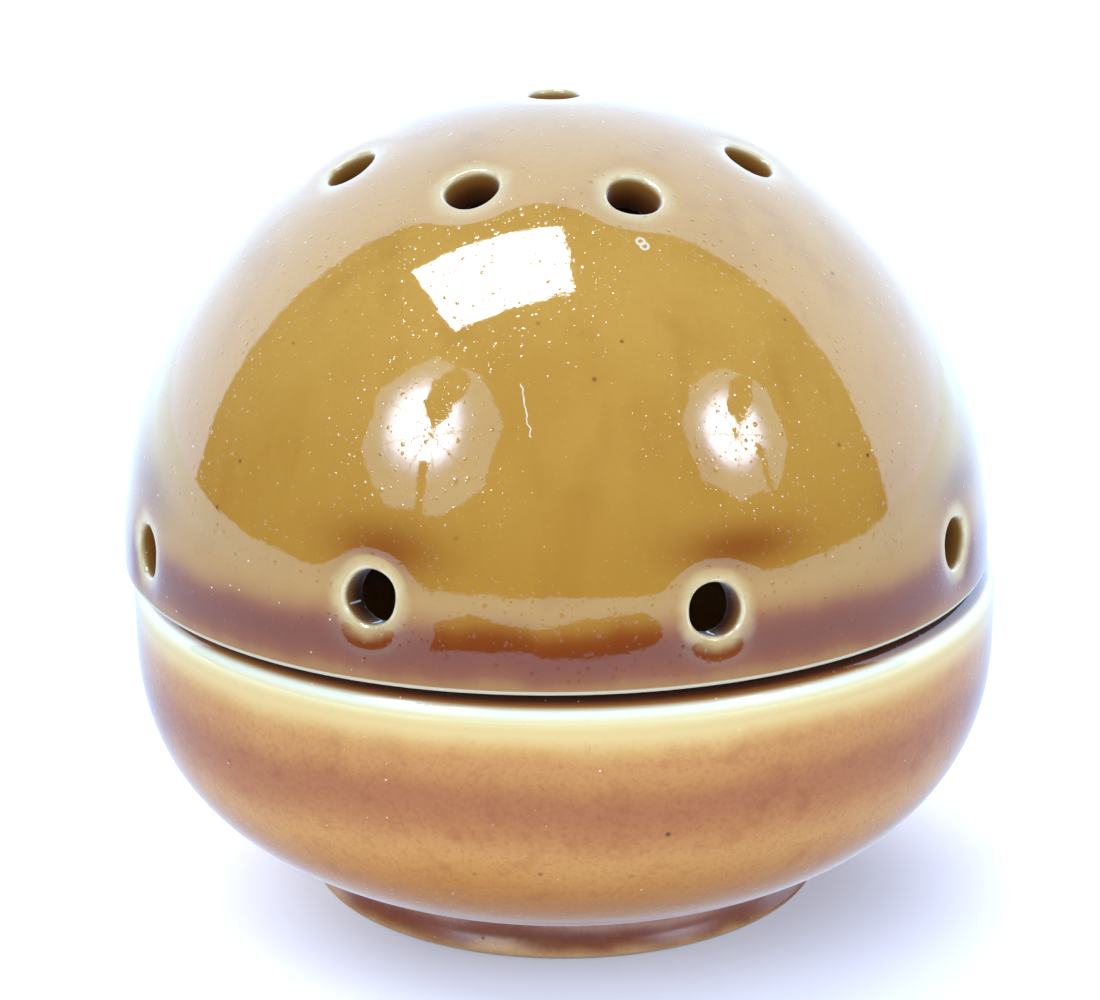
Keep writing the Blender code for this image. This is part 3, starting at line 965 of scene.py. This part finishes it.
# The dark gap between the table's end and the tent, seen only in the glaze.
TABLE_END = ((-0.115, -0.205), (-0.06, -0.245), (0.03, -0.238), (0.09, -0.245), (0.16, -0.30),
             (0.25, -0.68), (0.08, -0.60), (-0.02, -0.44), (-0.07, -0.45), (-0.22, -0.58), (-0.20, -0.36))
# Outlines of each lamp's head and stand, in shares of its distance.
LEFT_HEAD = ((0.0, 0.02), (0.06, 0.08), (0.06, 0.13), (0.10, 0.21), (0.085, 0.265), (0.0, 0.30),
             (-0.07, 0.21), (-0.08, 0.11), (-0.03, 0.05))
LEFT_STAND = ((-0.02, -0.10), (0.025, -0.09), (0.045, -0.30), (0.005, -0.31))
RIGHT_HEAD = ((0.02, 0.013), (0.09, 0.043), (0.154, 0.084), (0.19, 0.14), (0.14, 0.178),
              (0.08, 0.173), (-0.01, 0.09))
RIGHT_STAND = ((0.06, -0.05), (0.09, -0.06), (0.09, -0.26), (0.07, -0.26))


def world_light():
    """A white tent. The glaze mirrors it too, with the dark room through its open front."""
    world = bpy.data.worlds.new("white_tent")
    bpy.context.scene.world = world
    world.use_nodes = True
    graph = Graph(world.node_tree)
    background = world.node_tree.nodes["Background"]
    direction = graph.node("ShaderNodeTexCoord").outputs["Generated"]
    parts = graph.parts(direction)
    opening = graph.minus(OPENING, graph.times(parts["X"], OPENING_LEAN))
    dark = graph.step(graph.minus(opening, parts["Y"]), 0.0, 0.02)
    mirrored = graph.mix(dark, TENT, ROOM)
    fill = graph.mix(1.0, FILL, graph.line(parts["Z"], FILL_UPWARD, FILL_LEVEL), "MULTIPLY")
    path = graph.node("ShaderNodeLightPath").outputs
    colour = graph.mix(path["Is Glossy Ray"], fill, mirrored)
    colour = graph.mix(path["Is Camera Ray"], colour, WHITE)
    graph.feed(background.inputs["Color"], colour)


def make_floor():
    bpy.ops.mesh.primitive_circle_add(vertices=96, radius=7.0, fill_type="NGON",
                                      location=(0, 0, -0.0001))
    floor = bpy.context.object
    floor.name = "floor"
    floor.data.materials.append(floor_material())


def floor_material():
    material, graph, shader = new_material("pale_floor")
    shader.inputs["Base Color"].default_value = FLOOR_COLOUR
    shader.inputs["Emission Color"].default_value = FLOOR_GLOW
    shader.inputs["Roughness"].default_value = 0.9
    shader.inputs["Specular IOR Level"].default_value = 0.0
    place = graph.node("ShaderNodeTexCoord").outputs["Object"]
    # The floor glows with painted light, dimmed near the pot as a painted shadow.
    beside = graph.distance(place, FLOOR_SHADOW_MIDDLE)
    glow = graph.line(graph.step(beside, FLOOR_SHADOW_INNER, FLOOR_SHADOW_OUTER), GLOW_GAIN, GLOW_NEAR)
    graph.feed(shader.inputs["Emission Strength"], glow)
    out = graph.distance(place, (0.0, 0.0, 0.0))
    mirrored = graph.ramp(graph.math("DIVIDE", out, FLOOR_REACH), MIRRORED_FLOOR, "LINEAR")
    emission = graph.node("ShaderNodeEmission", {"Color": mirrored}).outputs[0]
    glossy = graph.node("ShaderNodeLightPath").outputs["Is Glossy Ray"]
    both = graph.node("ShaderNodeMixShader", {0: glossy, 1: shader.outputs[0], 2: emission})
    graph.surface(both.outputs[0])
    return material


def mirrored_card(name, points, faces, colour):
    """A flat shape that only the glaze's reflections show. The colour is plain, or made by a graph."""
    mesh = bpy.data.meshes.new(name)
    mesh.from_pydata([tuple(point) for point in points], [], faces)
    card = add_object(name, mesh)
    material, graph, shader = new_material(name)
    material.node_tree.nodes.remove(shader)
    value = colour(graph) if callable(colour) else colour
    graph.surface(graph.node("ShaderNodeEmission", {"Color": value}).outputs[0])
    mesh.materials.append(material)
    for kind in ("camera", "diffuse", "shadow", "transmission", "volume_scatter"):
        setattr(card, "visible_" + kind, False)


def facing(azimuth, elevation, distance):
    """Turns flat points (right, up), in shares of the distance, into points round the pot."""
    a, e = math.radians(azimuth), math.radians(elevation)
    ahead = Vector((math.sin(a) * math.cos(e), -math.cos(a) * math.cos(e), math.sin(e)))
    right = Vector((0, 0, 1)).cross(ahead).normalized()
    up = ahead.cross(right)
    middle = Vector(STAGE_MIDDLE)
    return lambda x, y, nearer=0.0: middle + (ahead * (1 - nearer) + right * x + up * y) * distance


def panel_turn(k):
    return math.radians(360 / PANELS * k + 180 / PANELS)


def make_umbrella(name, azimuth, elevation, radius, power, core, head, stand):
    """A photographer's white umbrella lamp: eight panels, a bright middle, its flash head and stand."""
    place = facing(azimuth, elevation, LAMP_REACH)
    points, faces = canopy(place, radius)
    mirrored_card(name, points, faces, canopy_glow(place(*core), radius * LAMP_REACH))
    for k in range(PANELS):
        mirrored_card(f"{name}_rib_{k}", rib(place, radius, panel_turn(k)), [(0, 1, 2)], RIB_LIGHT)
    for part, outline in (("head", head), ("stand", stand)):
        corners = [place(x, y, 0.03) for x, y in outline]
        mirrored_card(f"{name}_{part}", corners, [tuple(range(len(corners)))], ROOM)
    soft_light(name, place(0, 0), radius * LAMP_REACH, power)


def canopy(place, radius):
    points = [place(0, 0)]
    for ring in range(1, CANOPY_ROWS + 1):
        reach = radius * ring / CANOPY_ROWS
        points += [place(reach * math.cos(panel_turn(k)), reach * math.sin(panel_turn(k)))
                   for k in range(PANELS)]
    faces = []
    for k in range(PANELS):
        after = (k + 1) % PANELS
        faces.append((0, 1 + k, 1 + after))
        for ring in range(CANOPY_ROWS - 1):
            a, b = 1 + PANELS * ring + k, 1 + PANELS * ring + after
            faces.append((a, a + PANELS, b + PANELS, b))
    return points, faces


def canopy_glow(hot, radius):
    """A colour that is brightest round one point and falls off towards the edge."""
    def colour(graph):
        spot = graph.node("ShaderNodeTexCoord").outputs["Object"]
        share = graph.math("DIVIDE", graph.distance(spot, tuple(hot)), radius)
        bright = graph.mix(graph.step(share, 0.75, 0.35), CANOPY_EDGE, CANOPY_MIDDLE)
        return graph.mix(graph.step(share, 0.62, 0.20), bright, FLASH)
    return colour


def rib(place, radius, turn):
    """A thin triangle that runs from an umbrella's middle out to its edge."""
    x, y = math.cos(turn), math.sin(turn)
    side = Vector((-y, x)) * RIB_HALF_WIDTH
    return [place(side.x, side.y, 0.01), place(-side.x, -side.y, 0.01),
            place(radius * x, radius * y, 0.01)]


def soft_light(name, place, radius, power):
    """The light an umbrella throws on the pot and the table."""
    data = bpy.data.lights.new(name + "_light", "AREA")
    data.shape = "DISK"
    data.size = 2 * radius
    data.energy = power
    data.color = LAMP_TINT
    light = add_object(name + "_light", data)
    light.location = place
    light.rotation_euler = place.to_track_quat("Z", "Y").to_euler()
    light.visible_glossy = False
    light.visible_camera = False


def make_lamps():
    """What the glaze mirrors inside the dark opening: a window, two umbrellas and the table's end."""
    corners = [Vector(STAGE_MIDDLE) + Vector(direction) * LAMP_REACH for direction in WINDOW_CORNERS]
    mirrored_card("window", corners, [(0, 1, 2, 3)], WINDOW_LIGHT)
    make_umbrella("left_umbrella", -39, 33, 0.335, 36, (-0.04, 0.04), LEFT_HEAD, LEFT_STAND)
    make_umbrella("right_umbrella", 55, 29, 0.262, 25, (-0.01, 0.02), RIGHT_HEAD, RIGHT_STAND)
    points = [(x, y, 0.0005) for x, y in TABLE_END]
    mirrored_card("table_end", points, [tuple(range(len(points)))], ROOM)


def make_camera():
    """At the viewing angle of the picture: a little above, with a long lens."""
    aim, distance = Vector(CAMERA_AIM), CAMERA_DISTANCE
    elevation, roll = math.radians(CAMERA_ELEVATION), math.radians(CAMERA_ROLL)
    data = bpy.data.cameras.new("camera")
    data.lens, data.sensor_width = CAMERA_LENS, 36.0
    camera = add_object("camera", data)
    back = Vector((0, -math.cos(elevation), math.sin(elevation)))
    turn = back.to_track_quat("Z", "Y").to_matrix().to_4x4() @ Matrix.Rotation(roll, 4, "Z")
    camera.matrix_world = Matrix.Translation(aim + back * distance) @ turn
    data.clip_start, data.clip_end = 0.01, 20.0
    bpy.context.scene.camera = camera


def main():
    make_camera()
    world_light()
    make_floor()
    make_lamps()
    bpy.context.scene.view_settings.view_transform = "Standard"
    for make, finish, body, node, slot in (
            (make_bowl, bowl_material, "pot_bowl", "bowl", "bowl_glaze"),
            (make_lid, lid_material, "pot_lid", "lid", "lid_glaze"),
            (make_sachet, sachet_material, "pot_bowl", "desiccant_sachet", "sachet_cloth")):
        piece = make()
        piece.data.materials.append(finish())
        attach(piece, body)
        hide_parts(node)


main()
